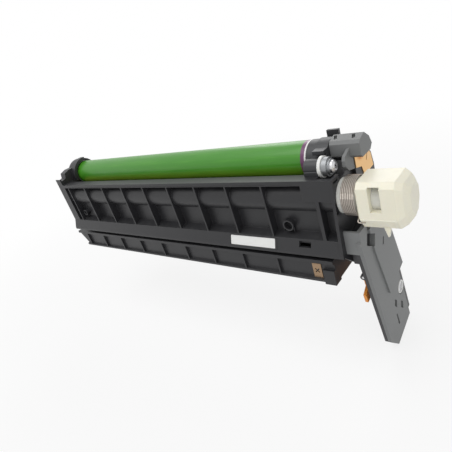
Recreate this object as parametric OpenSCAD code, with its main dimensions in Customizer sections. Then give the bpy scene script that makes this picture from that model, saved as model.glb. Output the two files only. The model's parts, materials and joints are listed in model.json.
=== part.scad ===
// Printer drum unit: a long black moulded frame that carries a coated drum,
// its cleaner with a waste auger, its charge roller, and a grey front panel.
// X runs along the drum axis from the rear end to the front end, Z is up and
// the ribbed side faces -Y. The origin is on the drum axis at the rear end.

/* [Drum] */
// Outer diameter of the coated tube
drum_d = 30; // [29:0.5:31]
// Length of the coated tube
drum_len = 353; // [340:1:365]
// Wall of the aluminium tube
tube_wall = 1; // [0.8:0.1:1.5]
// Width of the flange rim left in sight at each end of the tube
rim_w = 1.4; // [1:0.1:1.8]
// Length of each flange spigot inside the tube
spigot_len = 10; // [8:1:14]
// Radius of the drive socket in the rear flange
socket_r = 5; // [4:0.5:6]
// Depth of the drive socket
socket_depth = 12; // [9:1:14]
// Radius of the steel pin that carries the front flange
front_pin_r = 3; // [2.5:0.25:3.5]

/* [Gears and auger] */
// Tooth module of the three gears
gear_module = 1; // [0.97:0.01:1.02]
// Teeth on the drum gear
drum_teeth = 30; // [29:1:31]
// Teeth on the idler gear
idler_teeth = 20; // [19:1:21]
// Teeth on the auger gear
auger_teeth = 22; // [21:1:23]
// Width of the gear teeth
gear_w = 6; // [5:0.5:6.5]
// Distance between the drum axis and the auger's axis
auger_dist = 33; // [32.5:0.25:33.5]
// Angle of the auger below the drum axis, seen from the front end
auger_angle = 41.5; // [40:0.5:43]
// Radius of the auger's flight
flight_r = 10; // [9:0.25:10.25]
// Pitch of the auger's flight
flight_pitch = 32; // [30:1:36]
// Thickness of the flight along the shaft
flight_t = 2; // [1.5:0.25:2.5]
// Radius of the auger's shaft
auger_shaft_r = 3; // [2.5:0.25:3.5]

/* [Frame] */
// Distance from the drum axis forward to the face of the ribs
rib_face = 40; // [39:0.5:42]
// Wall of the black mouldings
wall = 2.4; // [2:0.1:3]
// Level of the front rail's top below the drum axis
rail_drop = 3; // [2:0.25:4]
// Height of the lip along the rail's front edge
lip_h = 4; // [3:0.25:5]
// Depth of the rail's top, front to back
rail_w = 12; // [11:0.5:13]
// Distance between two ribs
rib_pitch = 39.46; // [30:0.5:50]
// Thickness of a rib
rib_t = 1.6; // [1.2:0.1:2.4]
// Distance from the tube's rear end to the first rib
first_rib = 6.7; // [4:0.1:12]
// Level of the sloping ledge's upper edge below the drum axis
ledge_top = 55.3; // [53:0.1:57]
// Height of the sloping ledge
ledge_h = 11; // [9:0.5:13]
// How far the ledge's lower edge stands out from the ribs
ledge_out = 4.5; // [3:0.25:6]
// Level of the floor below the charge roller
floor_drop = 40; // [38:0.5:42]
// Distance from the drum axis back to the rear lip of the floor
back_y = 26; // [25:0.5:28]

/* [Bottom cover] */
// Level of the unit's underside below the drum axis
bottom_drop = 93.3; // [88:0.1:98]
// Depth of the bottom cover, front to back
cover_depth = 36; // [30:1:40]
// Gap between the ledge and the cover's upper lip
cover_gap = 3.5; // [2.5:0.25:5]
// Wall of the bottom cover
cover_wall = 2.2; // [1.8:0.1:3]

/* [Cleaning blade] */
// Angle around the drum at which the blade meets it
blade_contact = 223; // [220:0.5:226]
// Slope of the blade down towards the drum
blade_slope = 23.5; // [22:0.5:26]
// Thickness of the rubber blade
blade_t = 2; // [1.6:0.1:2.2]
// Free length of the rubber blade
blade_free = 7; // [6:0.5:8]
// Thickness of the steel bracket
bracket_t = 1.6; // [1.2:0.1:1.8]

/* [Charge roller] */
// Diameter of the charge roller's rubber
charge_d = 12; // [11:0.25:12.5]
// Angle around the drum at which the charge roller lies
charge_angle = 300; // [298:1:302]
// Diameter of the foam cleaning roller
foam_d = 8; // [7:0.25:8.5]
// Radius of the charge roller's steel shaft
charge_shaft_r = 3; // [2.5:0.25:3.25]
// Radius of the foam roller's steel shaft
foam_shaft_r = 2; // [1.5:0.25:2.25]

/* [Waste tube and shutter] */
// Outer radius of the waste tube
tube_r = 11.7; // [11.6:0.05:12]
// Wall of the waste tube
waste_wall = 1.2; // [1:0.05:1.3]
// Length of the waste tube beyond the frame
tube_len = 47; // [44:1:52]
// Length of the shutter
shutter_len = 36; // [33:1:40]
// Half width of the shutter
shutter_half = 16; // [15.5:0.25:17]
// Radius of the spring's wire
wire_r = 0.55; // [0.45:0.05:0.6]
// Turns of the shutter spring
spring_turns = 8; // [6:1:9]

/* [Front panel] */
// Lean of the front panel around the drum axis
panel_lean = 12.5; // [10:0.5:15]
// Width of the panel's plate
panel_w = 50; // [46:1:54]
// Level of the panel's lower edge below the drum axis
panel_bottom = 191; // [180:1:200]
// Thickness of the panel's plate
panel_t = 3; // [2.5:0.25:3.5]
// Thickness of the black plate behind it
back_plate_t = 3; // [2.5:0.25:3.5]
// Height by which the upper field stands out
field_rise = 1.5; // [1:0.25:2]
// Radius of the round screw that holds the unit in the printer
lock_r = 6.5; // [6:0.25:7]

/* [Running gaps] */
// Gap between the drum and what rides against it
drum_gap = 0.3; // [0.25:0.05:0.4]
// Radial gap of a shaft in its bearing
bearing_gap = 0.1; // [0.06:0.02:0.14]
// Gap between mouldings that slide into each other
fit_gap = 0.2; // [0.15:0.05:0.3]

/* [Hidden] */
$fn = 64;

black = "#1d1e20";
dark_grey = "#37383b";
grey = "#8a8c8c";
steel = "#b9bcc0";
cream = "#f0eddc";

drum_r = drum_d / 2;
drum_x0 = 24;
drum_x1 = drum_x0 + drum_len;
rear_wall_x = 19.4;
wall_a_x = drum_x1 + 17;
face_x = drum_x1 + 34;
rail_z = -rail_drop;
rail_back = -rib_face + rail_w;
ledge_y = -rib_face - ledge_out;
ledge_z = -ledge_top - ledge_h;
floor_z = -floor_drop;
recess_y = -31.2;
block_x = drum_x1 + 6.8;
rib_count = floor((block_x - drum_x0 - first_rib - 1) / rib_pitch) + 1;

// Gears and auger: the idler lies where it meshes with both other gears
cap_x0 = 8;
gear_x = cap_x0 + 3;
auger_y = -auger_dist * cos(auger_angle);
auger_z = -auger_dist * sin(auger_angle);
drum_to_idler = gear_module * (drum_teeth + idler_teeth) / 2;
idler_to_auger = gear_module * (idler_teeth + auger_teeth) / 2;
idler_turn = acos((drum_to_idler ^ 2 + auger_dist ^ 2 - idler_to_auger ^ 2) / (2 * drum_to_idler * auger_dist));
idler_angle = 180 + auger_angle + idler_turn;
idler_y = drum_to_idler * cos(idler_angle);
idler_z = drum_to_idler * sin(idler_angle);
idler_stub_r = 3;
auger_side = atan2(auger_z - idler_z, auger_y - idler_y);
function tip_radius(teeth) = gear_module * (teeth / 2 + 0.9);
trough_in = flight_r + 0.8;
trough_out = trough_in + wall;
boss_r = 10.5;
neck_r = 12.4;

// Cleaning blade: its own axes start at the edge that meets the drum
blade_y = (drum_r + drum_gap) * cos(blade_contact);
blade_z = (drum_r + drum_gap) * sin(blade_contact);
blade_x0 = drum_x0 + 4;
blade_len = drum_len - 8;
function blade_point(a, b) = [
    blade_y + a * cos(blade_slope) + b * sin(blade_slope),
    blade_z - a * sin(blade_slope) + b * cos(blade_slope)];

// Charge roller and the foam roller behind it
charge_dist = drum_r + charge_d / 2 + drum_gap;
foam_dist = charge_dist + (charge_d + foam_d) / 2 + drum_gap;
charge_y = charge_dist * cos(charge_angle);
charge_z = charge_dist * sin(charge_angle);
foam_y = foam_dist * cos(charge_angle);
foam_z = foam_dist * sin(charge_angle);
bearing_w = 5;
bearing_x0 = drum_x0 + 3;
bearing_x1 = drum_x1 - 3 - bearing_w;
bearing_foot = foam_z - foam_d / 2;

// Waste tube, spring and shutter share the auger's axis
collar_r = 13.8;
spring_r = collar_r + 0.8 + wire_r;
spring_x = face_x + 3.6;
shutter_x = face_x + 15;
spring_pitch = (shutter_x - 0.3 - wire_r - spring_x) / spring_turns;
shutter_bore = tube_r + 0.2;
port_w = 8;
port_x = shutter_x + 10;

// Front panel: u runs across it and w down it, both turned by its lean
panel_x = face_x + 10;
panel_top = 46;
panel_right = -1;
panel_left = panel_right - panel_w;
back_right = panel_right + 10;
corner_cut = 12;
field_right = panel_right + 9;
field_bottom = 126;
latch_w = 92;
latch_x = face_x + 3;
latch_u0 = panel_left + 9;
latch_len = 26;

// Screw axis of the front bearing's boss
boss_y = -25;
boss_z = 2;
screw_r = 1.5;
screw_head_r = 3;
screw_head_h = 2;

// Sections in Y and Z, each drawn out along X
module along_x(x, len) {
    for (i = [0:1:$children - 1])
        translate([x, 0, 0]) rotate([90, 0, 90]) linear_extrude(len) children(i);
}

// A round bar parallel to the drum axis
module rod(x, len, y, z, r) {
    translate([x, y, z]) rotate([0, 90, 0]) cylinder(h = len, r = r);
}

// A box given by its lowest corner and its highest corner
module span(low, high) {
    translate(low) cube(high - low);
}

// Spur gear outline with straight flanks, one tooth centred on the given angle
function polar(r, a) = [r * cos(a), r * sin(a)];
module gear_outline(teeth, start) {
    pitch_r = gear_module * teeth / 2;
    half_t = 0.66 * gear_module;
    root_r = pitch_r - 1.25 * gear_module;
    tip_r = pitch_r + 0.9 * gear_module;
    root_a = (half_t + 1.25 * gear_module * tan(20)) / root_r * 180 / PI;
    tip_a = (half_t - 0.9 * gear_module * tan(20)) / tip_r * 180 / PI;
    polygon([for (i = [0:teeth - 1]) for (p = [[root_r, -root_a], [tip_r, -tip_a],
        [tip_r, tip_a], [root_r, root_a]]) polar(p[0], start + i * 360 / teeth + p[1])]);
}

// Pan head screw with a cross recess: head above the origin, shank below
module screw(len, r, head_r, head_h) {
    difference() {
        union() {
            cylinder(h = head_h * 0.6, r = head_r);
            translate([0, 0, head_h * 0.6]) cylinder(h = head_h * 0.4, r1 = head_r, r2 = head_r * 0.6);
            translate([0, 0, -len]) cylinder(h = len, r = r);
        }
        for (a = [0, 90])
            rotate([0, 0, a])
                translate([-head_r * 0.5, -head_r * 0.11, head_h * 0.45])
                    cube([head_r, head_r * 0.22, head_h]);
    }
}

// Round wire wound into a coil along X, as one swept ring for each step
module coil(x, y, z, r, wire, pitch, turns, steps, sides) {
    count = turns * steps;
    points = [for (i = [0:count]) for (k = [0:sides - 1])
        let (a = 360 * i / steps, b = 360 * k / sides, rr = r + wire * cos(b))
            [x + pitch * i / steps + wire * sin(b), y + rr * cos(a), z + rr * sin(a)]];
    walls = [for (i = [0:count - 1]) for (k = [0:sides - 1])
        let (n = (k + 1) % sides)
            [i * sides + k, i * sides + n, (i + 1) * sides + n, (i + 1) * sides + k]];
    ends = [[for (k = [sides - 1:-1:0]) k], [for (k = [0:sides - 1]) count * sides + k]];
    polyhedron(points, concat(walls, ends));
}

// Housing: the long section with the rail, the trough, the ledge and the floor
module housing_section() {
    // Rail along the top with its front lip
    polygon([[-rib_face, rail_z], [rail_back, rail_z], [rail_back, rail_z - 2.2],
        [-rib_face + 2.2, rail_z - 2.2], [-rib_face + 2.2, rail_z - lip_h],
        [-rib_face, rail_z - lip_h]]);
    // Web from the rail down into the trough
    polygon([[rail_back - wall, rail_z], [rail_back, rail_z],
        [rail_back, auger_z + trough_in], [rail_back - wall, auger_z + trough_in]]);
    // Trough round the auger, open towards the drum
    difference() {
        translate([auger_y, auger_z]) circle(r = trough_out);
        translate([auger_y, auger_z]) circle(r = trough_in);
        polygon([[rail_back, auger_z], [rail_back, 0], [10, 0], [10, auger_z - 1], [auger_y, auger_z - 1]]);
    }
    // Wall behind the ribs, down to the ledge
    polygon([[recess_y, auger_z - trough_in], [recess_y + wall, auger_z - trough_in],
        [recess_y + wall, -ledge_top], [recess_y, -ledge_top]]);
    // Sloping ledge with its turned-in lower edge
    polygon([[recess_y, -ledge_top + 3], [-rib_face, -ledge_top], [ledge_y, ledge_z],
        [ledge_y, ledge_z - 2], [ledge_y + wall, ledge_z - 2], [ledge_y + wall, ledge_z],
        [-rib_face + wall, -ledge_top - 1.2], [recess_y + wall, -ledge_top + 1.4],
        [recess_y + wall, -ledge_top + 3]]);
    // Floor under the charge roller, its back lip and the web under the trough
    polygon([[recess_y + wall, floor_z], [back_y, floor_z], [back_y, floor_z + 13],
        [back_y - wall, floor_z + 13], [back_y - wall, floor_z + wall],
        [recess_y + wall, floor_z + wall]]);
    polygon([[-16.8, auger_z - 9.5], [-14.4, auger_z - 8.4], [-14.4, floor_z + wall], [-16.8, floor_z + wall]]);
}

// Outline of a rib between the rail and the ledge, kept out of the trough
module rib_outline() {
    difference() {
        polygon([[-rib_face, rail_z - lip_h], [rail_back - wall, rail_z - lip_h],
            [recess_y, auger_z], [recess_y, -ledge_top + 3], [-rib_face, -ledge_top]]);
        translate([auger_y, auger_z]) circle(r = trough_in + wall / 2);
    }
}

// Cross wall that closes the section and cradles a round neck
module cross_wall(x, t, cradle_r) {
    along_x(x, t) difference() {
        polygon([[-rib_face, rail_z - lip_h], [-rib_face + 3, rail_z], [18, rail_z],
            [back_y, -14], [back_y, floor_z], [recess_y + wall, floor_z],
            [recess_y + wall, -ledge_top + 1.4], [-rib_face + wall, -ledge_top - 1.2],
            [ledge_y + wall, ledge_z], [ledge_y, ledge_z], [-rib_face, -ledge_top]]);
        circle(r = cradle_r);
    }
}

// Front wall of the frame, the seat of the waste tube and the front panel
module face_wall() {
    along_x(face_x - wall, wall) polygon([[-rib_face, rail_z - lip_h], [-18, rail_z - lip_h],
        [-14, -2], [-5, -2], [-5, 8], [9.5, 8], [9.5, -1], [20, -1], [30, -8], [34, -20],
        [34, -60], [22, -bottom_drop + 3], [4, -bottom_drop], [-14, -bottom_drop],
        [ledge_y, ledge_z]]);
    // Pad behind the contact leaf, stopping short of the spring's collar
    along_x(face_x, 2.8) difference() {
        polygon([[-4, 7], [9, 7], [9, -1], [20, -1], [29, -8], [32, -20], [32, -33], [-4, -33]]);
        translate([auger_y, auger_z]) circle(r = spring_r + wire_r + 0.6);
    }
}

// Raised ring on the wall above the ledge
module wall_ring(x, z, r) {
    translate([x, recess_y + 0.5, z]) rotate([90, 0, 0]) difference() {
        cylinder(h = 6, r = r);
        translate([0, 0, 0.6]) cylinder(h = 8, r = r - 1.2);
    }
}

module housing() {
    color(black) difference() {
        union() {
            along_x(rear_wall_x, face_x - rear_wall_x) housing_section();
            for (i = [0:rib_count - 1])
                along_x(drum_x0 + first_rib + i * rib_pitch - rib_t / 2, rib_t) rib_outline();
            cross_wall(rear_wall_x, wall, neck_r + 0.6);
            cross_wall(wall_a_x, wall + 0.6, drum_r + 1 + fit_gap);
            face_wall();
            // Flat block at the front end, below the rail
            span([block_x, -rib_face, -20.5], [face_x - 1, -rib_face + wall, rail_z - lip_h + 0.5]);
            wall_ring(block_x - 22, -ledge_top + 10, 5);
            wall_ring(drum_x0 + first_rib + 8, -ledge_top + 10, 4);
            // Frame round the bare label field on the ledge
            label_frame();
            // Arched plate and hook over the rear end of the drum
            drum_hook(rear_wall_x, wall, neck_r + 0.6);
            drum_hook(rear_wall_x, 8, drum_r + 1.6);
            // Stub that the idler gear turns on
            rod(gear_x, rear_wall_x - gear_x + 0.5, idler_y, idler_z, idler_stub_r);
        }
        // The trough runs on through the two front walls into the waste tube
        rod(wall_a_x - 0.5, wall + 1.6, auger_y, auger_z, trough_in - 0.2);
        rod(face_x - wall - 0.5, wall + 6, auger_y, auger_z, trough_in - 0.2);
        // Room for the washer and the spacer between the two front walls
        span([wall_a_x + wall + 0.6, boss_y - 11, rail_z - 5], [face_x - wall, boss_y + 10, rail_z + 4]);
        // Holes in the floor for the screws of the bottom cover
        for (x = cover_screw_x)
            translate([x, cover_screw_y, floor_z - 1]) cylinder(h = wall + 2, r = screw_r + 0.03);
        // Bearing hole of the auger's shaft in the rear wall
        rod(rear_wall_x - 1, wall + 2, auger_y, auger_z, auger_shaft_r + bearing_gap);
        // Seat of the drum pin in the front wall and its pad
        rod(face_x - wall - 1, wall + 6, 0, 0, front_pin_r + 0.03);
        // Dark gap in the ledge near the front end, and the small slot above it
        span([block_x - 12, ledge_y - 1, -ledge_top - 6.5], [block_x - 1, -rib_face + 1, -ledge_top - 1.5]);
        span([face_x - 1.5, -rib_face - 1, -31], [face_x + 1, -rib_face + 3, -21.5]);
        // Screw holes for the rear cap and the front panel
        for (p = cap_screws) rod(rear_wall_x - 1, wall + 2, p[0], p[1], screw_r + 0.03);
        for (p = panel_screw_places) rod(face_x - wall - 1, wall + 2, p[0], p[1], screw_r + 0.03);
    }
}

// Raised frame round the label field, following the ledge's slope
label_x0 = drum_x1 - 80;
label_len = 51;
function ledge_point(down, out) = [
    -rib_face - ledge_out * down - out, -ledge_top - ledge_h * down];
module ledge_bar(x, len, from, to) {
    along_x(x, len) polygon([ledge_point(from, -1), ledge_point(from, 0.5),
        ledge_point(to, 0.5), ledge_point(to, -1)]);
}
module label_frame() {
    ledge_bar(label_x0 - 1.5, 1.2, 0.04, 0.97);
    ledge_bar(label_x0 + label_len + 0.3, 1.2, 0.04, 0.97);
    ledge_bar(label_x0 - 1, label_len + 2, 0.04, 0.11);
    ledge_bar(label_x0 - 1, label_len + 2, 0.9, 0.97);
}

// Quarter ring over the front upper side of the drum's rear end
module drum_hook(x, len, inner_r) {
    along_x(x, len) intersection() {
        difference() {
            circle(r = drum_r + 5.6);
            circle(r = inner_r);
        }
        polygon([[2.5, 0], [2.5, 30], [-30, 30], [-30, rail_z - 1.5], [-14, rail_z - 1.5]]);
    }
}

// Places of the screws, in Y and Z
cap_screws = [[-35.5, -40], [-35, -7.5], [22, -22]];
function turned(u, w) = [u * cos(panel_lean) - w * sin(panel_lean),
    u * sin(panel_lean) + w * cos(panel_lean)];
panel_screw_places = [turned(-18, -54), turned(-8, -78)];
cover_screw_x = [drum_x0 + 20, drum_x0 + drum_len / 2, drum_x1 - 20];
cover_screw_y = -11.4;

// Bottom cover: a box section with a ribbed front under the ledge
cover_top = ledge_z - 2 - cover_gap;
cover_x0 = 9.6;
cover_x1 = drum_x1 + 23;
cover_back = ledge_y + cover_depth;
module cover_section() {
    polygon([[ledge_y, cover_top], [ledge_y, cover_top - 3], [ledge_y + 2.6, cover_top - 4.4],
        [ledge_y + 2.6, -bottom_drop + 2.6], [ledge_y, -bottom_drop + 1.8],
        [ledge_y, -bottom_drop], [cover_back, -bottom_drop], [cover_back, floor_z],
        [cover_back - cover_wall - 6, floor_z], [cover_back - cover_wall - 6, floor_z - cover_wall],
        [cover_back - cover_wall, floor_z - cover_wall],
        [cover_back - cover_wall, -bottom_drop + cover_wall],
        [ledge_y + 2.6 + cover_wall, -bottom_drop + cover_wall],
        [ledge_y + 2.6 + cover_wall, cover_top]]);
}

module cover_end(x) {
    along_x(x, cover_wall) polygon([[ledge_y + 2.6, cover_top], [ledge_y + 2.6, -bottom_drop],
        [cover_back, -bottom_drop], [cover_back, floor_z - cover_wall],
        [recess_y + wall + fit_gap, floor_z - cover_wall], [recess_y + wall + fit_gap, cover_top]]);
}

module bottom_cover() {
    color(black) difference() {
        union() {
            along_x(cover_x0, cover_x1 - cover_x0) cover_section();
            cover_end(cover_x0);
            cover_end(cover_x1 - cover_wall);
            // Short ribs on the front at the pitch of those above
            for (i = [0:rib_count - 1])
                along_x(drum_x0 + first_rib + i * rib_pitch - rib_t / 2, rib_t)
                    polygon([[ledge_y, cover_top - 2], [ledge_y + 3, cover_top - 2],
                        [ledge_y + 3, -bottom_drop + 1], [ledge_y, -bottom_drop + 1]]);
            // Small foot under the front end
            span([cover_x1 - 10, ledge_y, -bottom_drop - 2], [cover_x1, ledge_y + 10, -bottom_drop + 12]);
            // Bosses under the flange that take the screws from above
            for (x = cover_screw_x)
                translate([x, cover_screw_y, floor_z - cover_screw_len]) cylinder(h = cover_screw_len - 1, r = 2.7);
        }
        // Cut-off corner at the rear end of the underside
        translate([cover_x0 - 1, 0, -bottom_drop - 1]) rotate([90, 0, 0])
            linear_extrude(120, center = true) polygon([[0, 0], [14, 0], [0, 18]]);
        for (x = cover_screw_x)
            translate([x, cover_screw_y, floor_z - cover_screw_len + 1]) cylinder(h = 20, r = screw_r + 0.03);
    }
}

cover_screw_len = 10;
module cover_screws() {
    color(steel) for (x = cover_screw_x)
        translate([x, cover_screw_y, floor_z + wall])
            screw(cover_screw_len, screw_r, screw_head_r - 0.2, screw_head_h);
}

// Rear cap: gear case, locating ring, guide rib and the front apron
module gear_room(y, z, teeth) {
    rod(cap_x0 + wall, rear_wall_x, y, z, tip_radius(teeth) + 0.6);
}

module rear_cap() {
    color(black) difference() {
        union() {
            rod(cap_x0, rear_wall_x - cap_x0, 0, 0, tip_radius(drum_teeth) + 0.6 + wall);
            // Apron that carries on the rail, the ribs' face and the ledge
            along_x(cap_x0, rear_wall_x - cap_x0) polygon([[-rib_face, rail_z], [-37.5, 2.5],
                [-31, 4], [-29.5, 10], [-22, 12.5], [-12, 12.5], [0, 0], [18, -12],
                [back_y, -20], [back_y, floor_z], [recess_y + wall, floor_z],
                [recess_y + wall, -ledge_top], [-rib_face + wall, -ledge_top - 1.2],
                [ledge_y + wall, ledge_z - 2], [ledge_y, ledge_z - 2], [ledge_y, ledge_z],
                [-rib_face, -ledge_top]]);
            // Locating ring round the drive socket
            rod(0, cap_x0 + 0.5, 0, 0, boss_r + 3.5);
            // Guide rib on the front side
            along_x(cap_x0, rear_wall_x - cap_x0) polygon([[-rib_face, 5.5], [-rib_face + 1.4, 5],
                [-rib_face + 4, rail_z], [-rib_face, rail_z - 3]]);
            // Boss of the locating hole
            rod(cap_x0 - 1, rear_wall_x - cap_x0 + 1, -34, -50, 4.6);
        }
        // Rooms of the three gears
        gear_room(0, 0, drum_teeth);
        gear_room(idler_y, idler_z, idler_teeth);
        gear_room(auger_y, auger_z, auger_teeth);
        rod(-1, cap_x0 + wall + 2, 0, 0, boss_r + bearing_gap);
        rod(cap_x0 - 2, 8, -34, -50, 2.5);
        for (p = cap_screws) rod(2, 20, p[0], p[1], screw_r + 0.03);
        // The cap ends level with the rear wall of the housing
        span([rear_wall_x, -60, -80], [rear_wall_x + 30, 60, 60]);
    }
}

module rear_cap_screws() {
    color(steel) for (p = cap_screws)
        translate([cap_x0, p[0], p[1]]) rotate([0, -90, 0])
            screw(rear_wall_x - cap_x0 + 2, screw_r, screw_head_r, screw_head_h);
}

// Drum: coated aluminium tube between two flanges
module drum_tube() {
    color("#4f9a33") difference() {
        rod(drum_x0, drum_len, 0, 0, drum_r);
        rod(drum_x0 - 1, drum_len + 2, 0, 0, drum_r - tube_wall);
    }
}

// Rear flange: spigot, rim, gear and the boss with the drive socket
module drum_drive_flange() {
    color("white") difference() {
        union() {
            rod(drum_x0, spigot_len, 0, 0, drum_r - tube_wall - 0.03);
            rod(drum_x0 - rim_w, rim_w, 0, 0, drum_r);
            rod(gear_x + gear_w, drum_x0 - rim_w - gear_x - gear_w, 0, 0, neck_r);
            along_x(gear_x, gear_w) gear_outline(drum_teeth, idler_angle);
            rod(1, gear_x - 1, 0, 0, boss_r);
        }
        rod(0, 1 + socket_depth, 0, 0, socket_r);
        // Lightening ring inside the spigot
        difference() {
            rod(drum_x0 - 4, spigot_len + 5, 0, 0, drum_r - tube_wall - 2);
            rod(drum_x0 - 5, spigot_len + 3, 0, 0, socket_r + 1.5);
        }
    }
}

// Front flange: spigot, rim and the hub that turns on the steel pin
module drum_front_flange() {
    color("white") difference() {
        union() {
            rod(drum_x1 - spigot_len, spigot_len, 0, 0, drum_r - tube_wall - 0.03);
            rod(drum_x1, rim_w, 0, 0, drum_r);
        }
        rod(drum_x1 - spigot_len - 1, spigot_len + rim_w + 2, 0, 0, front_pin_r + bearing_gap);
        difference() {
            rod(drum_x1 - spigot_len - 1, spigot_len - 2, 0, 0, drum_r - tube_wall - 2);
            rod(drum_x1 - spigot_len - 2, spigot_len + 2, 0, 0, front_pin_r + 2.5);
        }
    }
}

module drum_pin() {
    color(steel) rod(drum_x1 - spigot_len - 2, face_x + 2.8 - drum_x1 + spigot_len + 2, 0, 0, front_pin_r);
}

// Front bearing block: collar round the pin, screw boss, foot, lug and tab
collar_x0 = drum_x1 + rim_w + 0.4;
collar_x1 = drum_x1 + 20.4;
cap_screw_x = collar_x1 + 8.4;
cap_screw_len = 18;
cap_screw_r = 2;
module front_bearing_block() {
    color(dark_grey) difference() {
        union() {
            rod(collar_x0, collar_x1 - collar_x0, 0, 0, drum_r + 0.2);
            rod(collar_x0 + 8, collar_x1 - collar_x0 - 8, 0, 0, drum_r + 1);
            rod(collar_x0 + 6, collar_x1 - collar_x0 - 6, boss_y, boss_z, 6.3);
            // Web and foot that stand on the rail
            along_x(collar_x0 + 6, collar_x1 - collar_x0 - 6) polygon([[boss_y, 6], [-12, 6], [-12, rail_z],
                [-31.5, rail_z], [-31.5, 0]]);
            // Lug on the front and tab on the back of the collar
            along_x(collar_x0 + 9, collar_x1 - collar_x0 - 9) polygon([[-18.5, 12], [-10, 12], [-10, 9],
                [-18.5, 9]]);
            span([drum_x1 + 10, 12, 4], [collar_x1, 15, 18.4]);
        }
        rod(collar_x0 - 1, 30, 0, 0, front_pin_r + 0.03);
        rod(cap_screw_x - cap_screw_len - 1, cap_screw_len, boss_y, boss_z, cap_screw_r + 0.03);
        // The boss is cut off level with the rail
        span([collar_x0, boss_y - 10, rail_z - 10], [collar_x1 + 1, -drum_r - 1.3, rail_z]);
    }
}

module cap_washer() {
    color("white") difference() {
        rod(collar_x1, 2.4, boss_y, boss_z, 8.4);
        rod(collar_x1 - 1, 5, boss_y, boss_z, cap_screw_r + 0.1);
    }
}

module cap_spacer() {
    color("#8b8f93") difference() {
        union() {
            rod(collar_x1 + 2.4, 4.4, boss_y, boss_z, 7.4);
            rod(collar_x1 + 6.8, 1.6, boss_y, boss_z, 6);
        }
        rod(collar_x1, 10, boss_y, boss_z, cap_screw_r + 0.1);
    }
}

module cap_screw() {
    color(steel) translate([cap_screw_x, boss_y, boss_z]) rotate([0, 90, 0])
        rotate([0, 0, 35]) screw(cap_screw_len, cap_screw_r, 5, 3.2);
}

// Front cap: hollow block over the pin, with a neck beside the waste tube
cap_x1 = face_x + 11;
module front_cap() {
    color(grey) difference() {
        union() {
            along_x(collar_x1 + 0.3, cap_x1 - collar_x1 - 0.3) polygon([[-8.5, 3], [-8.5, 12.5], [-6.5, 15],
                [2.5, 17.2], [10.5, 11.5], [14, 4.5], [9.8, 0.8], [-6, 0.8]]);
            along_x(face_x, 2.6) polygon([[-8.4, 9], [-17.5, 6], [-19, 3], [-19, -1.5], [-14.6, -6.2],
                [-4.2, -9], [-4.2, 3], [-8, 9]]);
        }
        // Room for the pin, the front wall's tongue and the contact leaf
        span([collar_x1, -5.2, -10], [face_x + 0.02, 9.7, 12]);
        span([face_x - 0.5, -4.15, -10], [cap_x1 - 2, 9.7, 11]);
        // Two slots in the top
        for (x = [collar_x1 + 3, cap_x1 - 7])
            translate([x, -4, 13.2]) rotate([14, 0, 20]) cube([2.4, 6, 5]);
    }
}

// Sprung leaf that touches the end of the drum pin
module drum_contact_leaf() {
    color("#d9ab5c") along_x(face_x + 2.8, 0.6) polygon([[-3.6, 3], [9, 3], [9, -1.4], [19, -1.4],
        [27, -8.5], [29, -20], [19.5, -20.5], [17.5, -25.5], [10.5, -24], [6.5, -12], [-3.6, -9]]);
}

// Auger: shaft with one long flight
auger_x1 = face_x + tube_len - 5;
flight_x0 = rear_wall_x + wall + 1.5;
module waste_auger() {
    color("#4a4d52") {
        rod(gear_x - 0.3, flight_x0 - gear_x + 0.8, auger_y, auger_z, auger_shaft_r);
        flight(flight_x0, auger_x1 - flight_x0 - 1);
    }
}

// Core with one flight: its section turns as it goes along the shaft
module flight(x, len) {
    steps = 20;
    count = floor(len / flight_pitch * steps);
    core_r = auger_shaft_r + 0.8;
    half_a = 180 * flight_t / flight_pitch;
    section = concat([for (k = [0:5]) polar(core_r, half_a * 1.5 + k * (360 - 3 * half_a) / 5)],
        [polar(flight_r, -half_a), polar(flight_r, half_a)]);
    sides = len(section);
    points = [for (i = [0:count]) for (s = section)
        let (a = -360 * i / steps)
            [x + i * flight_pitch / steps, auger_y + s[0] * cos(a) - s[1] * sin(a),
                auger_z + s[0] * sin(a) + s[1] * cos(a)]];
    walls = [for (i = [0:count - 1]) for (k = [0:sides - 1])
        let (n = (k + 1) % sides)
            each [[i * sides + n, i * sides + k, (i + 1) * sides + k],
                [i * sides + n, (i + 1) * sides + k, (i + 1) * sides + n]]];
    ends = [[for (k = [0:sides - 1]) k], [for (k = [sides - 1:-1:0]) count * sides + k]];
    polyhedron(points, concat(walls, ends));
}

// Gear with a short hub on its front side
module hub_gear(y, z, teeth, start, bore_r) {
    color("white") difference() {
        union() {
            along_x(gear_x, gear_w) translate([y, z]) gear_outline(teeth, start);
            rod(gear_x + gear_w, rear_wall_x - gear_x - gear_w - 0.4, y, z, bore_r + 2);
        }
        rod(gear_x - 1, gear_w + 6, y, z, bore_r);
    }
}

// The teeth are set so that each pair meets tooth to gap
idler_start = idler_angle + 180 + 180 / idler_teeth;
idler_pitch = 360 / idler_teeth;
idler_lag = (auger_side - idler_start) - idler_pitch * floor((auger_side - idler_start) / idler_pitch);
auger_start = auger_side + 180 + idler_lag * idler_teeth / auger_teeth + 180 / auger_teeth;
module idler_gear() { hub_gear(idler_y, idler_z, idler_teeth, idler_start, idler_stub_r + bearing_gap); }
module auger_gear() { hub_gear(auger_y, auger_z, auger_teeth, auger_start, auger_shaft_r + 0.03); }

// Waste tube: collar against the frame, pipe and the toner port underneath
module waste_tube() {
    color("#d6d7d2") difference() {
        union() {
            rod(face_x, shutter_x - face_x - 1, auger_y, auger_z, collar_r);
            rod(face_x, tube_len, auger_y, auger_z, tube_r);
        }
        rod(face_x - 1, tube_len - 1, auger_y, auger_z, tube_r - waste_wall);
        span([port_x, auger_y - 7, auger_z - 14], [port_x + port_w, auger_y + 7, auger_z]);
    }
}

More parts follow.
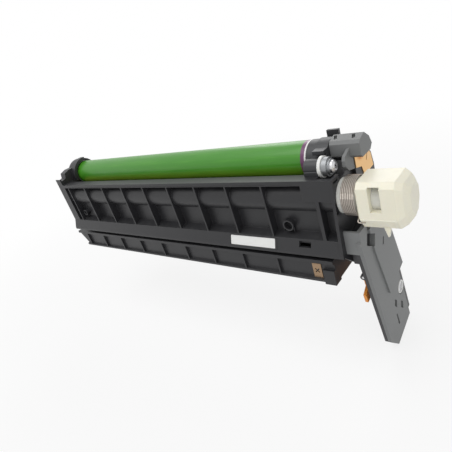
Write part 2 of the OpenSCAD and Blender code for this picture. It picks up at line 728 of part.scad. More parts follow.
// Shutter: turning cap with a window, a bevelled lower front and a finger
module shutter_outline(inset) {
    half = shutter_half - inset;
    translate([auger_y, auger_z]) polygon([[-half, half - 4], [-half + 4, half],
        [half - 5, half], [half, half - 5], [half, -half + 5], [half - 5, -half - 3],
        [-half + 6, -half - 5], [-half, -half + 4]]);
}

module shutter() {
    color(cream) difference() {
        union() {
            along_x(shutter_x + 1.5, shutter_len - 9.5) shutter_outline(0);
            hull() {
                along_x(shutter_x, 1) shutter_outline(2);
                along_x(shutter_x + 1.5, 0.5) shutter_outline(0);
            }
            hull() {
                along_x(shutter_x + shutter_len - 8.5, 0.5) shutter_outline(0);
                along_x(shutter_x + shutter_len - 4, 0.5) shutter_outline(2.5);
                along_x(shutter_x + shutter_len - 1, 1) shutter_outline(7);
            }
            // Pointed finger that the printer turns
            translate([shutter_x + 16, auger_y - 8.5, auger_z - shutter_half - 4]) rotate([90, 0, 0])
                linear_extrude(2.4) polygon([[0, 0], [5, 0], [3.2, -8], [2.2, -8]]);
        }
        rod(shutter_x - 1, shutter_len - 1.5, auger_y, auger_z, shutter_bore);
        // Window, turned away from the port while the shutter is closed
        span([port_x, auger_y - 20, auger_z - 6], [port_x + port_w, auger_y, auger_z + 13]);
    }
}

// Close-wound torsion spring that turns the shutter shut
module shutter_spring() {
    color("#a39c94") coil(spring_x, auger_y, auger_z, spring_r, wire_r, spring_pitch, spring_turns, 24, 6);
}

// Cleaning blade of soft rubber, bonded on its steel bracket
module cleaning_blade() {
    color("#c98f45") along_x(blade_x0, blade_len) polygon([blade_point(0, 0),
        blade_point(-blade_free - 5, 0), blade_point(-blade_free - 5, -blade_t), blade_point(0, -blade_t)]);
}

module blade_bracket() {
    fold = rail_back + bracket_t;
    top_a = (fold - blade_y + blade_t * sin(blade_slope)) / cos(blade_slope);
    low_a = (fold - blade_y + (blade_t + bracket_t) * sin(blade_slope)) / cos(blade_slope);
    top = blade_point(top_a, -blade_t);
    low = blade_point(low_a, -blade_t - bracket_t);
    color(steel) along_x(blade_x0 - 4, blade_len + 8) polygon([
        blade_point(-blade_free, -blade_t), top, [rail_back, top[1]], [rail_back, -12], [fold, -12],
        low, blade_point(-blade_free, -blade_t - bracket_t)]);
}

// Thin film that keeps waste toner in the trough
module recovery_film() {
    film_z = auger_z - 1;
    color("#c9c4b4") along_x(blade_x0, blade_len) polygon([[-13.6, film_z], [-13.1, film_z],
        polar(drum_r + drum_gap + 0.1, 232), polar(drum_r + drum_gap + 0.6, 232)]);
}

// Charge roller: steel shaft with a conductive rubber sleeve
module charge_roller_shaft() {
    color(steel) rod(bearing_x0 - 0.5, bearing_x1 + bearing_w - bearing_x0 + 1, charge_y, charge_z, charge_shaft_r);
}

module charge_roller_rubber() {
    color("#2b2b2d") difference() {
        rod(bearing_x0 + bearing_w + 2, bearing_x1 - bearing_x0 - bearing_w - 4, charge_y, charge_z, charge_d / 2);
        rod(bearing_x0, bearing_x1 - bearing_x0 + 10, charge_y, charge_z, charge_shaft_r + 0.02);
    }
}

module foam_roller_shaft() {
    color(steel) rod(bearing_x0 - 0.5, bearing_x1 + bearing_w - bearing_x0 + 1, foam_y, foam_z, foam_shaft_r);
}

module foam_roller_foam() {
    color("#6f7274") difference() {
        rod(bearing_x0 + bearing_w + 2, bearing_x1 - bearing_x0 - bearing_w - 4, foam_y, foam_z, foam_d / 2);
        rod(bearing_x0, bearing_x1 - bearing_x0 + 10, foam_y, foam_z, foam_shaft_r + 0.02);
    }
}

// Bearing block that carries both rollers and is pushed up by a spring
module charge_bearing(x) {
    color("#c9c9c2") difference() {
        along_x(x, bearing_w) {
            translate([charge_y, charge_z]) circle(r = charge_shaft_r + 1.8);
            translate([foam_y, foam_z]) circle(r = foam_shaft_r + 1.8);
            polygon([[charge_y - charge_shaft_r - 1.8, charge_z], [charge_y + charge_shaft_r, charge_z + 3],
                [foam_y + foam_shaft_r + 1.8, foam_z], [foam_y + foam_shaft_r + 1.8, bearing_foot],
                [charge_y - charge_shaft_r - 1.8, bearing_foot]]);
        }
        rod(x - 1, bearing_w + 2, charge_y, charge_z, charge_shaft_r + bearing_gap);
        rod(x - 1, bearing_w + 2, foam_y, foam_z, foam_shaft_r + bearing_gap);
    }
}

module charge_bearing_rear() { charge_bearing(bearing_x0); }
module charge_bearing_front() { charge_bearing(bearing_x1); }

// Compression spring between the floor and a bearing block
module charge_spring(x) {
    height = bearing_foot - floor_z - wall;
    wire = 0.35;
    turns = 4;
    color("#a39c94") translate([x + bearing_w / 2, (charge_y + foam_y) / 2, floor_z + wall + wire])
        rotate([0, -90, 0]) coil(0, 0, 0, 2, wire, (height - 2 * wire) / turns, turns, 12, 5);
}

module charge_spring_rear() { charge_spring(bearing_x0); }
module charge_spring_front() { charge_spring(bearing_x1); }

// Bronze strip that feeds the charge roller, on the cover's front
strip_x = cover_x1 - 20;
module charge_contact() {
    color("#a8875f") difference() {
        span([strip_x, ledge_y + 1.9, -bottom_drop + 2.6], [strip_x + 8, ledge_y + 2.6, cover_top - 4.8]);
        for (a = [45, 135])
            translate([strip_x + 4, ledge_y + 3, (cover_top - bottom_drop) / 2 - 1]) rotate([90, a, 0])
                translate([-2.6, -0.5, -1]) cube([5.2, 1, 4]);
    }
}

// Place a piece of the panel, given in the panel's own u and w
module on_panel(x, len) {
    translate([x, 0, 0]) rotate([panel_lean, 0, 0]) rotate([90, 0, 90]) linear_extrude(len) children();
}

module plate_outline(right) {
    polygon([[panel_left, -panel_top], [panel_left, -panel_bottom + 19],
        [panel_left + corner_cut, -panel_bottom], [right, -panel_bottom], [right, -panel_top]]);
}

// Black plate behind the panel, with its foot on the frame and the lever's ears
module panel_back_plate() {
    color(black) difference() {
        union() {
            on_panel(panel_x - back_plate_t, back_plate_t) plate_outline(back_right);
            on_panel(face_x, 7.5) polygon([[-46, -panel_top - 2], [-46, -74], [-30, -84], [0, -84],
                [0, -panel_top - 2]]);
            for (u = [latch_u0 - 3, latch_u0 + latch_len + 0.4])
                on_panel_ear(u);
        }
        on_panel_pin(latch_u0 - 5, latch_len + 10, screw_r + 0.03);
        for (p = panel_screw_places) rod(face_x - 1, 20, p[0], p[1], screw_r + 0.03);
        on_panel(panel_x - back_plate_t - 1, 10) slots();
        on_panel(panel_x - back_plate_t - 1, 10) translate(lock_place) circle(r = lock_shank_r + fit_gap);
        // Space of the grey panel's side block
        span([panel_x - back_plate_t - 1, -rib_face - 10, side_low - fit_gap],
            [panel_x + 1, -rib_face + 4.4 + fit_gap, side_high + 10]);
    }
}

// Ear with a rounded end for the lever's pin
module on_panel_ear(u) {
    translate([latch_x, 0, 0]) rotate([panel_lean, 0, 0]) translate([0, u, -latch_w]) rotate([-90, 0, 0]) {
        cylinder(h = 2.6, r = 3);
        translate([0, -3, 0]) cube([panel_x - latch_x - 1, 6, 2.6]);
    }
}

// Bar along the panel's width at the lever's pivot
module on_panel_pin(u, len, r) {
    translate([latch_x, 0, 0]) rotate([panel_lean, 0, 0]) translate([0, u, -latch_w])
        rotate([-90, 0, 0]) cylinder(h = len, r = r);
}

// Two diamond holes and the slot below them
module slots() {
    for (p = [[-23, -149], [-12, -164]])
        polygon([[p[0] - 3.4, p[1]], [p[0], p[1] + 6], [p[0] + 3.4, p[1]], [p[0], p[1] - 6]]);
    polygon([[-28, -160], [-25.4, -160.6], [-26, -175], [-28.6, -174.4]]);
}

// Grey front panel: plate, raised upper field and the block at its left
side_low = -67;
side_high = -47;
module front_panel() {
    color(grey) difference() {
        union() {
            on_panel(panel_x, panel_t) plate_outline(panel_right);
            on_panel(panel_x, panel_t + field_rise) polygon([[-34, -panel_top], [-34.5, -70],
                [-30, -field_bottom], [field_right, -field_bottom], [field_right - 5, -field_bottom + 46],
                [field_right - 5, -panel_top]]);
            // Side block that wraps the frame's front corner
            span([face_x, -rib_face + 2, side_low], [panel_x + panel_t, -rib_face + 4.4, side_high]);
            span([panel_x, -rib_face + 2, side_low], [panel_x + panel_t, -rib_face + 16, side_high]);
        }
        // Dark recess at the upper left and the slot beside it
        on_panel(panel_x - 1, 20) polygon([[-36.5, -48], [-27, -56.5], [-33, -65], [-42, -56]]);
        on_panel(panel_x - 1, 20) polygon([[-16.3, -70.4], [-13.8, -71.6], [-17.6, -77.2], [-20.1, -76]]);
        on_panel(panel_x - 1, 20) slots();
        // Round bay at the right edge for the lock screw
        on_panel(panel_x - 1, 20) translate(lock_place) circle(r = lock_r + 1);
        for (p = panel_screw_places) rod(face_x - 1, panel_x - face_x + panel_t, p[0], p[1], screw_r + 0.03);
    }
}

// Screws driven from inside the frame into the back of the panel
module panel_screws() {
    color(steel) for (p = panel_screw_places)
        translate([face_x - wall, p[0], p[1]]) rotate([0, -90, 0])
            screw(panel_x - face_x + wall + 1.8, screw_r, screw_head_r, screw_head_h);
}

// White screw that locks the unit in the printer, held by the black plate
lock_place = [panel_right - 4, -146];
lock_shank_r = 2.5;
module lock_screw() {
    color("white") difference() {
        on_panel_stud(panel_x, 3, lock_r);
        on_panel_stud(panel_x + 1.8, 3, lock_r - 1.4);
    }
    color("white") on_panel_stud(panel_x - back_plate_t - 4, back_plate_t + 5, lock_shank_r);
}

// Round bar at the lock screw's place, parallel to the drum axis
module on_panel_stud(x, len, r) {
    place = turned(lock_place[0], lock_place[1]);
    rod(x, len, place[0], place[1], r);
}

// Orange release lever behind the panel, squeezed towards it
module latch_lever() {
    color("#e08a2a") difference() {
        translate([latch_x, 0, 0]) rotate([panel_lean, 0, 0]) translate([0, latch_u0, -latch_w])
            rotate([90, 0, 90]) {
                translate([0, 0, -2.6]) linear_extrude(2.6) polygon([[0.4, 0], [0.4, -14], [-8, -17],
                    [-8, -26], [latch_len - 6, -26], [latch_len - 6, -18], [latch_len - 0.6, -14],
                    [latch_len - 0.6, 0]]);
                translate([0.4, 0, 0]) rotate([0, 90, 0]) cylinder(h = latch_len - 6.4, r = 2.8);
            }
        on_panel_pin(latch_u0 - 5, latch_len + 10, screw_r + bearing_gap);
        // Clearance round the spring's end of the barrel
        translate([latch_x, 0, 0]) rotate([panel_lean, 0, 0])
            translate([-5, latch_u0 + latch_len - 5.8, -latch_w - 4]) cube([10, 6, 10]);
    }
}

module latch_pin() {
    color(steel) on_panel_pin(latch_u0 - 3, latch_len + 6, screw_r);
}

// Torsion spring on the lever's pin
module latch_spring() {
    color("#a39c94") translate([latch_x, 0, 0]) rotate([panel_lean, 0, 0])
        translate([0, latch_u0 + latch_len - 5.2, -latch_w]) rotate([0, 0, 90])
            coil(0, 0, 0, screw_r + 0.5, 0.35, 0.8, 5, 12, 5);
}

// Small memory board on the back of the rear cap's apron
module memory_chip() {
    color("#2f6b45") span([10, back_y, -34], [18, back_y + 1.2, -22]);
}

housing();
bottom_cover();
rear_cap();
rear_cap_screws();
cover_screws();
drum_tube();
drum_drive_flange();
drum_front_flange();
drum_pin();
front_bearing_block();
cap_washer();
cap_spacer();
cap_screw();
front_cap();
drum_contact_leaf();
waste_auger();
auger_gear();
idler_gear();
waste_tube();
shutter();
shutter_spring();
cleaning_blade();
blade_bracket();
recovery_film();
charge_roller_shaft();
charge_roller_rubber();
foam_roller_shaft();
foam_roller_foam();
charge_bearing_rear();
charge_bearing_front();
charge_spring_rear();
charge_spring_front();
charge_contact();
panel_back_plate();
front_panel();
panel_screws();
lock_screw();
latch_lever();
latch_pin();
latch_spring();
memory_chip();
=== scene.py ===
"""Looks of a printer drum unit: finishes for every moulded, turned and sprung piece, and the fine trim."""

import json
import logging
import math
from dataclasses import dataclass
from enum import Enum
from typing import Any

import bmesh
import bpy
from mathutils import Matrix, Vector


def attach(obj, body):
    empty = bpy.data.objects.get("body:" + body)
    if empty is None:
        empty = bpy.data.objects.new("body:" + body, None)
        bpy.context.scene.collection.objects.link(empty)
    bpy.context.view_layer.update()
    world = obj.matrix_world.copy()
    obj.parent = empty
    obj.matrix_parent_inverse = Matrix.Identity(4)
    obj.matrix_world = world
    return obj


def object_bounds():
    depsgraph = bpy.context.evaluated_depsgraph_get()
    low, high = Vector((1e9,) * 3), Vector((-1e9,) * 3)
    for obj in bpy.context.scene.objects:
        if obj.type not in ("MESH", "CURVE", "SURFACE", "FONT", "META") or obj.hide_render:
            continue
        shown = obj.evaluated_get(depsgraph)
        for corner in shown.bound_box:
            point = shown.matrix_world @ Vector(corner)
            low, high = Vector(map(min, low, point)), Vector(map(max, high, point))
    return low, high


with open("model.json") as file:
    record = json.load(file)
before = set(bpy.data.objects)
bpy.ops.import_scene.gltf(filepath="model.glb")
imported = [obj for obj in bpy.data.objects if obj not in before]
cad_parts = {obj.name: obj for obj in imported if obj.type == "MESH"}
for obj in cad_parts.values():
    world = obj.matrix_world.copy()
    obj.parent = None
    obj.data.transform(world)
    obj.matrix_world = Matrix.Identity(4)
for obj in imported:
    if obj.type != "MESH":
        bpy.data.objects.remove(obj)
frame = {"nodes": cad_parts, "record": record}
cad_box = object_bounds()

log = logging.getLogger("drum_unit")

MM = 0.001
Colour = tuple[float, float, float]
Point = tuple[float, float, float]
WHITE: Colour = (1.0, 1.0, 1.0)
DUST_COLOUR: Colour = (0.45, 0.44, 0.42)


class Surface(Enum):
    """How the face of a material was made, as the stretch of its grain along X, Y and Z."""

    MOULDED = (1.0, 1.0, 1.0)
    DRAWN_ALONG = (0.05, 1.0, 1.0)
    TURNED = (3.0, 0.35, 0.35)
    CELLULAR = (0.8, 0.8, 0.8)


class Graph:
    """Adds and joins shader nodes in one node tree."""

    def __init__(self, tree: bpy.types.NodeTree) -> None:
        """Keeps the tree that the nodes go into.

        Args:
            tree: the material's or the group's node tree.
        """
        self.tree = tree

    def node(self, kind: str, inputs: dict[Any, Any] | None = None, **settings: Any) -> bpy.types.Node:
        """Adds one node.

        Args:
            kind: Blender's name of the node type.
            inputs: what each input socket is set to or joined with.
            settings: properties of the node itself.

        Returns:
            The new node.
        """
        node = self.tree.nodes.new(kind)
        for name, value in settings.items():
            setattr(node, name, value)
        for key, value in (inputs or {}).items():
            if isinstance(value, bpy.types.NodeSocket):
                self.tree.links.new(value, node.inputs[key])
            else:
                node.inputs[key].default_value = value
        return node

    def math(self, operation: str, a: Any, b: Any = 0.0, clamp: bool = False) -> bpy.types.NodeSocket:
        """Adds a Math node.

        Args:
            operation: the name of the operation.
            a: first value or socket.
            b: second value or socket.
            clamp: whether the result is kept from 0 to 1.

        Returns:
            The node's result socket.
        """
        return self.node("ShaderNodeMath", {0: a, 1: b}, operation=operation, use_clamp=clamp).outputs[0]

    def mix(self, factor: Any, a: Any, b: Any) -> bpy.types.NodeSocket:
        """Mixes two colours.

        Args:
            factor: share of the second colour.
            a: first colour or socket.
            b: second colour or socket.

        Returns:
            The mixed colour's socket.
        """
        return self.node("ShaderNodeMix", {0: factor, 6: a, 7: b}, data_type="RGBA").outputs[2]

    def ramp(self, value: Any, low: float, high: float) -> bpy.types.NodeSocket:
        """Maps a value smoothly from 0 at low to 1 at high.

        Args:
            value: the socket that is mapped.
            low: value that becomes 0.
            high: value that becomes 1.

        Returns:
            The mapped value's socket.
        """
        settings = {"Value": value, "From Min": low, "From Max": high}
        return self.node("ShaderNodeMapRange", settings, interpolation_type="SMOOTHSTEP").outputs[0]

    def vector(self, operation: str, inputs: dict[Any, Any]) -> bpy.types.Node:
        """Adds a Vector Math node.

        Args:
            operation: the name of the operation.
            inputs: its vectors, and its scale where it has one.

        Returns:
            The new node.
        """
        return self.node("ShaderNodeVectorMath", inputs, operation=operation)

    def noise(self, place: Any, scale: Any, detail: float) -> bpy.types.NodeSocket:
        """Adds a noise texture.

        Args:
            place: the socket that says where it is read.
            scale: how fine it is, or the socket that says so.
            detail: how many finer layers it has.

        Returns:
            The noise value's socket.
        """
        return self.node("ShaderNodeTexNoise", {"Vector": place, "Scale": scale, "Detail": detail}).outputs[0]

    def seen_directly(self) -> bpy.types.NodeSocket:
        """Tells the rays that the viewer sees from the rays that light the unit.

        Returns:
            A socket that is 1 for camera, glossy and transmission rays and 0 for the rest.
        """
        path = self.node("ShaderNodeLightPath").outputs
        seen = self.math("MAXIMUM", path["Is Camera Ray"], path["Is Glossy Ray"])
        return self.math("MAXIMUM", seen, path["Is Transmission Ray"])


def rgba(colour: Colour) -> tuple[float, float, float, float]:
    """Adds the fourth number that Blender's colour sockets hold."""
    return (*colour, 1.0)


class Effects:
    """The shader groups that several finishes share, each made once."""

    BROAD_SCALE = 0.035
    FINE_SHARE = 0.6
    WEAR_PATCH_SCALE = 90.0
    DUST_CLOUD_SCALE = 140.0

    def __init__(self) -> None:
        """Builds the three groups."""
        self.grain = self._build_grain()
        self.wear = self._build_wear()
        self.dust = self._build_dust()

    @staticmethod
    def _new_group(name: str, inputs: dict[str, str], outputs: dict[str, str]) -> bpy.types.NodeTree:
        """Makes an empty group with its sockets.

        Args:
            name: the group's name.
            inputs: type of each input by name.
            outputs: type of each output by name.

        Returns:
            The new node tree.
        """
        tree = bpy.data.node_groups.new(name, "ShaderNodeTree")
        for side, sockets in (("INPUT", inputs), ("OUTPUT", outputs)):
            for socket, kind in sockets.items():
                tree.interface.new_socket(socket, in_out=side, socket_type="NodeSocket" + kind)
        return tree

    def _build_grain(self) -> bpy.types.NodeTree:
        """Grain of a moulded, drawn or turned face: shaded colour, uneven gloss and height."""
        inputs = {"Colour": "Color", "Mottle": "Float", "Roughness": "Float", "Scale": "Float"}
        outputs = {"Colour": "Color", "Roughness": "Float", "Height": "Float"}
        tree = self._new_group("surface_grain", inputs | {"Stretch": "Vector"}, outputs)
        graph = Graph(tree)
        given = graph.node("NodeGroupInput").outputs
        place = graph.node("ShaderNodeTexCoord").outputs["Object"]
        drawn = graph.vector("MULTIPLY", {0: place, 1: given["Stretch"]}).outputs[0]
        fine = graph.noise(drawn, given["Scale"], 3.0)
        broad = graph.noise(drawn, graph.math("MULTIPLY", given["Scale"], self.BROAD_SCALE), 5.0)
        swing = graph.math("MULTIPLY", graph.math("SUBTRACT", broad, 0.5), given["Mottle"])
        fine_mottle = graph.math("MULTIPLY", given["Mottle"], self.FINE_SHARE)
        speck = graph.math("MULTIPLY", graph.math("SUBTRACT", fine, 0.5), fine_mottle)
        shade = graph.math("ADD", graph.math("ADD", 1.0, swing), speck)
        colour = graph.vector("SCALE", {0: given["Colour"], "Scale": shade}).outputs[0]
        uneven = graph.math("ADD", given["Roughness"], graph.math("MULTIPLY", swing, 0.5))
        graph.node("NodeGroupOutput", {"Colour": colour, "Roughness": uneven, "Height": fine})
        return tree

    def _build_wear(self) -> bpy.types.NodeTree:
        """Rounded edges: the softened normal, and a broken mask where edges are rubbed."""
        tree = self._new_group(
            "edge_wear", {"Radius": "Float", "Amount": "Float"}, {"Mask": "Float", "Normal": "Vector"}
        )
        graph = Graph(tree)
        given = graph.node("NodeGroupInput").outputs
        soft = graph.node("ShaderNodeBevel", {"Radius": given["Radius"]}, samples=4).outputs[0]
        face = graph.node("ShaderNodeNewGeometry").outputs["Normal"]
        agree = graph.vector("DOT_PRODUCT", {0: soft, 1: face}).outputs["Value"]
        edge = graph.ramp(graph.math("SUBTRACT", 1.0, agree), 0.01, 0.2)
        place = graph.node("ShaderNodeTexCoord").outputs["Object"]
        patch = graph.noise(place, self.WEAR_PATCH_SCALE, 4.0)
        broken = graph.math("MULTIPLY", edge, graph.ramp(patch, 0.3, 0.62))
        mask = graph.math("MULTIPLY", broken, given["Amount"], clamp=True)
        graph.node("NodeGroupOutput", {"Mask": mask, "Normal": soft})
        return tree

    def _build_dust(self) -> bpy.types.NodeTree:
        """Fine dust that settles on faces turned upwards."""
        tree = self._new_group("settled_dust", {"Amount": "Float"}, {"Mask": "Float"})
        graph = Graph(tree)
        amount = graph.node("NodeGroupInput").outputs["Amount"]
        face = graph.node("ShaderNodeNewGeometry").outputs["Normal"]
        upward = graph.node("ShaderNodeSeparateXYZ", {0: face}).outputs["Z"]
        place = graph.node("ShaderNodeTexCoord").outputs["Object"]
        cloud = graph.noise(place, self.DUST_CLOUD_SCALE, 6.0)
        spread = graph.math("MULTIPLY", graph.ramp(upward, 0.1, 0.95), graph.ramp(cloud, 0.35, 0.75))
        graph.node("NodeGroupOutput", {"Mask": graph.math("MULTIPLY", spread, amount, clamp=True)})
        return tree


@dataclass(frozen=True)
class Finish:
    """One material: its colour, its gloss and how its face was made.

    Lengths are in millimetres.
    """

    colour: Colour
    roughness: float
    surface: Surface = Surface.MOULDED
    grain_size: float = 0.8
    relief: float = 0.02
    mottle: float = 0.12
    edge_radius: float = 0.35
    edge_wear: float = 0.25
    worn_colour: Colour = (0.3, 0.3, 0.3)
    dust: float = 0.05
    metallic: float = 0.0
    coat: float = 0.0
    glow_through: float = 0.0
    specular: float = 0.5
    opacity: float = 1.0

    def pattern(self, graph: Graph, colour: bpy.types.NodeSocket) -> bpy.types.NodeSocket:
        """Lays a pattern of the finish's own over its colour; plain finishes have none."""
        return colour

    def make(self, name: str, effects: Effects) -> bpy.types.Material:
        """Builds the material.

        Args:
            name: the slot's name in the record.
            effects: the shared groups.

        Returns:
            The material, ready for a mesh.
        """
        material = bpy.data.materials.new(name)
        material.use_nodes = True
        graph = Graph(material.node_tree)
        graph.tree.nodes.clear()
        grain = graph.node("ShaderNodeGroup", node_tree=effects.grain)
        grain.inputs["Colour"].default_value = rgba(self.colour)
        grain.inputs["Mottle"].default_value = self.mottle
        grain.inputs["Roughness"].default_value = self.roughness
        grain.inputs["Scale"].default_value = 1.0 / (self.grain_size * MM)
        grain.inputs["Stretch"].default_value = self.surface.value
        wear = graph.node("ShaderNodeGroup", node_tree=effects.wear)
        wear.inputs["Radius"].default_value = self.edge_radius * MM
        wear.inputs["Amount"].default_value = self.edge_wear
        dust = graph.node("ShaderNodeGroup", node_tree=effects.dust)
        dust.inputs["Amount"].default_value = self.dust
        colour = self.pattern(graph, grain.outputs["Colour"])
        colour = graph.mix(wear.outputs["Mask"], colour, rgba(self.worn_colour))
        colour = graph.mix(dust.outputs["Mask"], colour, rgba(DUST_COLOUR))
        dulled = graph.math("MULTIPLY", dust.outputs["Mask"], 0.6)
        rough = graph.math("ADD", grain.outputs["Roughness"], dulled, True)
        relief = {"Height": grain.outputs["Height"], "Normal": wear.outputs["Normal"]}
        relief |= {"Distance": self.relief * MM, "Strength": 0.6}
        bump = graph.node("ShaderNodeBump", relief).outputs[0]
        joined = {"Base Color": colour, "Roughness": rough, "Normal": bump}
        shader = graph.node("ShaderNodeBsdfPrincipled", joined)
        shader.inputs["Metallic"].default_value = self.metallic
        shader.inputs["Coat Weight"].default_value = self.coat
        shader.inputs["Coat Roughness"].default_value = 0.18
        shader.inputs["Specular IOR Level"].default_value = self.specular
        shader.inputs["Subsurface Weight"].default_value = self.glow_through
        shader.inputs["Subsurface Radius"].default_value = (1.0, 0.85, 0.6)
        shader.inputs["Subsurface Scale"].default_value = 2.0 * MM
        shader.inputs["Alpha"].default_value = self.opacity
        graph.node("ShaderNodeOutputMaterial", {"Surface": shader.outputs[0]})
        return material


@dataclass(frozen=True)
class DrumCoating(Finish):
    """Photoconductor: faint streaks along the drum and a purple band at one end."""

    band_start: float = 373.4
    band_blur: float = 0.2
    band_colour: Colour = (0.13, 0.035, 0.11)
    streak_colour: Colour = (0.085, 0.32, 0.025)
    streak_stretch: Point = (5.0, 60.0, 60.0)
    streak_share: float = 0.45

    def pattern(self, graph: Graph, colour: bpy.types.NodeSocket) -> bpy.types.NodeSocket:
        """Lays the streaks and the band over the green.

        Args:
            graph: the material's graph.
            colour: the green with its grain.

        Returns:
            The patterned colour.
        """
        place = graph.node("ShaderNodeTexCoord").outputs["Object"]
        apart = graph.node("ShaderNodeSeparateXYZ", {0: place}).outputs
        drawn = graph.vector("MULTIPLY", {0: place, 1: self.streak_stretch}).outputs[0]
        streak = graph.noise(drawn, 4.0, 5.0)
        pale = graph.math("MULTIPLY", graph.ramp(streak, 0.45, 0.75), self.streak_share)
        colour = graph.mix(pale, colour, rgba(self.streak_colour))
        low = (self.band_start - self.band_blur) * MM
        high = (self.band_start + self.band_blur) * MM
        band = graph.ramp(apart["X"], low, high)
        return graph.mix(band, colour, rgba(self.band_colour))


@dataclass(frozen=True)
class Foam(Finish):
    """Open foam: painted shade in the middle of each small cell, where its pores are in shadow."""

    cell: float = 1.1
    pore_shade_colour: Colour = (0.03, 0.03, 0.032)

    def pattern(self, graph: Graph, colour: bpy.types.NodeSocket) -> bpy.types.NodeSocket:
        """Paints shade into the middle of each cell, where the foam's pores are in shadow.

        Args:
            graph: the material's graph.
            colour: the foam's colour with its grain.

        Returns:
            The patterned colour.
        """
        place = graph.node("ShaderNodeTexCoord").outputs["Object"]
        per_metre = 1.0 / (self.cell * MM)
        cells = graph.node("ShaderNodeTexVoronoi", {"Vector": place, "Scale": per_metre}).outputs[0]
        # painted shade: the shadow inside each pore is painted as a dark colour at the cell's middle
        return graph.mix(graph.ramp(cells, 0.45, 0.1), colour, rgba(self.pore_shade_colour))


FINISHES: dict[str, Finish] = {
    "black_plastic": Finish((0.017, 0.017, 0.019), 0.42, mottle=0.3, worn_colour=(0.1, 0.1, 0.105),
                            edge_wear=0.4, dust=0.015),
    "dark_plastic": Finish((0.028, 0.029, 0.032), 0.42, mottle=0.25, worn_colour=(0.12, 0.12, 0.13),
                           edge_wear=0.4, dust=0.02),
    "grey_plastic": Finish((0.17, 0.175, 0.175), 0.5, mottle=0.12, worn_colour=(0.34, 0.34, 0.34)),
    "pale_plastic": Finish((0.66, 0.66, 0.62), 0.42, glow_through=0.08, worn_colour=(0.8, 0.8, 0.78)),
    "white_plastic": Finish((0.8, 0.8, 0.78), 0.35, mottle=0.05, glow_through=0.05,
                            worn_colour=(0.88, 0.88, 0.86)),
    "cream_plastic": Finish((0.83, 0.8, 0.66), 0.34, mottle=0.06, glow_through=0.2,
                            worn_colour=(0.9, 0.88, 0.78), edge_radius=0.7),
    "orange_plastic": Finish((0.75, 0.27, 0.03), 0.38, mottle=0.1, glow_through=0.1,
                             worn_colour=(0.85, 0.5, 0.2)),
    "drum_coating": DrumCoating((0.045, 0.24, 0.01), 0.36, relief=0.0, mottle=0.1, edge_wear=0.0, dust=0.0,
                                coat=0.15),
    "screw_steel": Finish((0.62, 0.62, 0.63), 0.3, Surface.TURNED, metallic=1.0,
                          worn_colour=(0.75, 0.75, 0.75)),
    "plated_steel": Finish((0.55, 0.56, 0.56), 0.36, Surface.DRAWN_ALONG, metallic=1.0, mottle=0.2),
    "zinc_spacer": Finish((0.3, 0.31, 0.32), 0.45, Surface.TURNED, metallic=0.9, mottle=0.2,
                          worn_colour=(0.5, 0.5, 0.5)),
    "spring_steel": Finish((0.42, 0.38, 0.34), 0.34, Surface.TURNED, metallic=1.0, mottle=0.2,
                           edge_radius=0.1),
    "copper_leaf": Finish((0.78, 0.48, 0.2), 0.32, Surface.DRAWN_ALONG, metallic=1.0, mottle=0.15,
                          worn_colour=(0.9, 0.65, 0.35), edge_radius=0.15),
    "bronze_strip": Finish((0.36, 0.25, 0.16), 0.42, Surface.DRAWN_ALONG, metallic=1.0, mottle=0.35,
                           worn_colour=(0.55, 0.42, 0.28), edge_radius=0.15),
    "blade_rubber": Finish((0.5, 0.25, 0.06), 0.5, mottle=0.1, glow_through=0.15, edge_wear=0.0),
    "roller_rubber": Finish((0.025, 0.025, 0.027), 0.6, Surface.TURNED, mottle=0.2, edge_wear=0.1),
    "grey_foam": Foam((0.16, 0.17, 0.18), 0.95, Surface.CELLULAR, relief=0.3, mottle=0.4, edge_wear=0.0),
    "clear_film": Finish((0.6, 0.58, 0.5), 0.2, mottle=0.05, edge_wear=0.0, edge_radius=0.05, opacity=0.55),
    "circuit_board": Finish((0.03, 0.15, 0.06), 0.3, mottle=0.3, coat=0.5, edge_radius=0.1,
                            worn_colour=(0.35, 0.4, 0.2)),
}


class Shelf:
    """Holds the materials and puts them on the nodes and the new pieces."""

    def __init__(self) -> None:
        """Makes every material of the record."""
        effects = Effects()
        self.materials = {name: finish.make(name, effects) for name, finish in FINISHES.items()}
        self.slots = {part["node"]: part["material_slot"] for part in frame["record"]["subparts"]}

    def dress(self, node: str) -> None:
        """Puts a node's own finish on it.

        Args:
            node: the node's name.
        """
        piece = frame["nodes"][node]
        piece.data.materials.clear()
        piece.data.materials.append(self.materials[self.slots[node]])

    def place(self, name: str, mesh: bmesh.types.BMesh, slot: str, body: str, smooth: bool = False) -> None:
        """Turns a mesh drawn in millimetres into a piece that rides on a body.

        Args:
            name: the piece's name.
            mesh: the drawn shape, which is freed.
            slot: the finish's slot.
            body: the body that the piece moves with.
            smooth: whether its faces are shaded smooth.
        """
        bmesh.ops.scale(mesh, vec=(MM, MM, MM), verts=mesh.verts)
        bmesh.ops.recalc_face_normals(mesh, faces=mesh.faces)
        for face in mesh.faces:
            face.smooth = smooth
        data = bpy.data.meshes.new(name)
        mesh.to_mesh(data)
        mesh.free()
        data.materials.append(self.materials[slot])
        piece = bpy.data.objects.new(name, data)
        bpy.context.scene.collection.objects.link(piece)
        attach(piece, body)
        log.info("%s: %d faces, rides on %s", name, len(data.polygons), body)


def turn(axis: str, degrees: float) -> Matrix:
    """Rotation matrix about one axis, given in degrees."""
    return Matrix.Rotation(math.radians(degrees), 3, axis)


def move(mesh: bmesh.types.BMesh, to: tuple[float, float, float], rotation: Matrix | None = None) -> None:
    """Turns a whole mesh about the origin and then moves it.

    Args:
        mesh: the mesh that is placed.
        to: where its origin goes.
        rotation: the turn that comes first.
    """
    if rotation is not None:
        bmesh.ops.rotate(mesh, cent=(0, 0, 0), matrix=rotation, verts=mesh.verts)
    bmesh.ops.translate(mesh, vec=to, verts=mesh.verts)


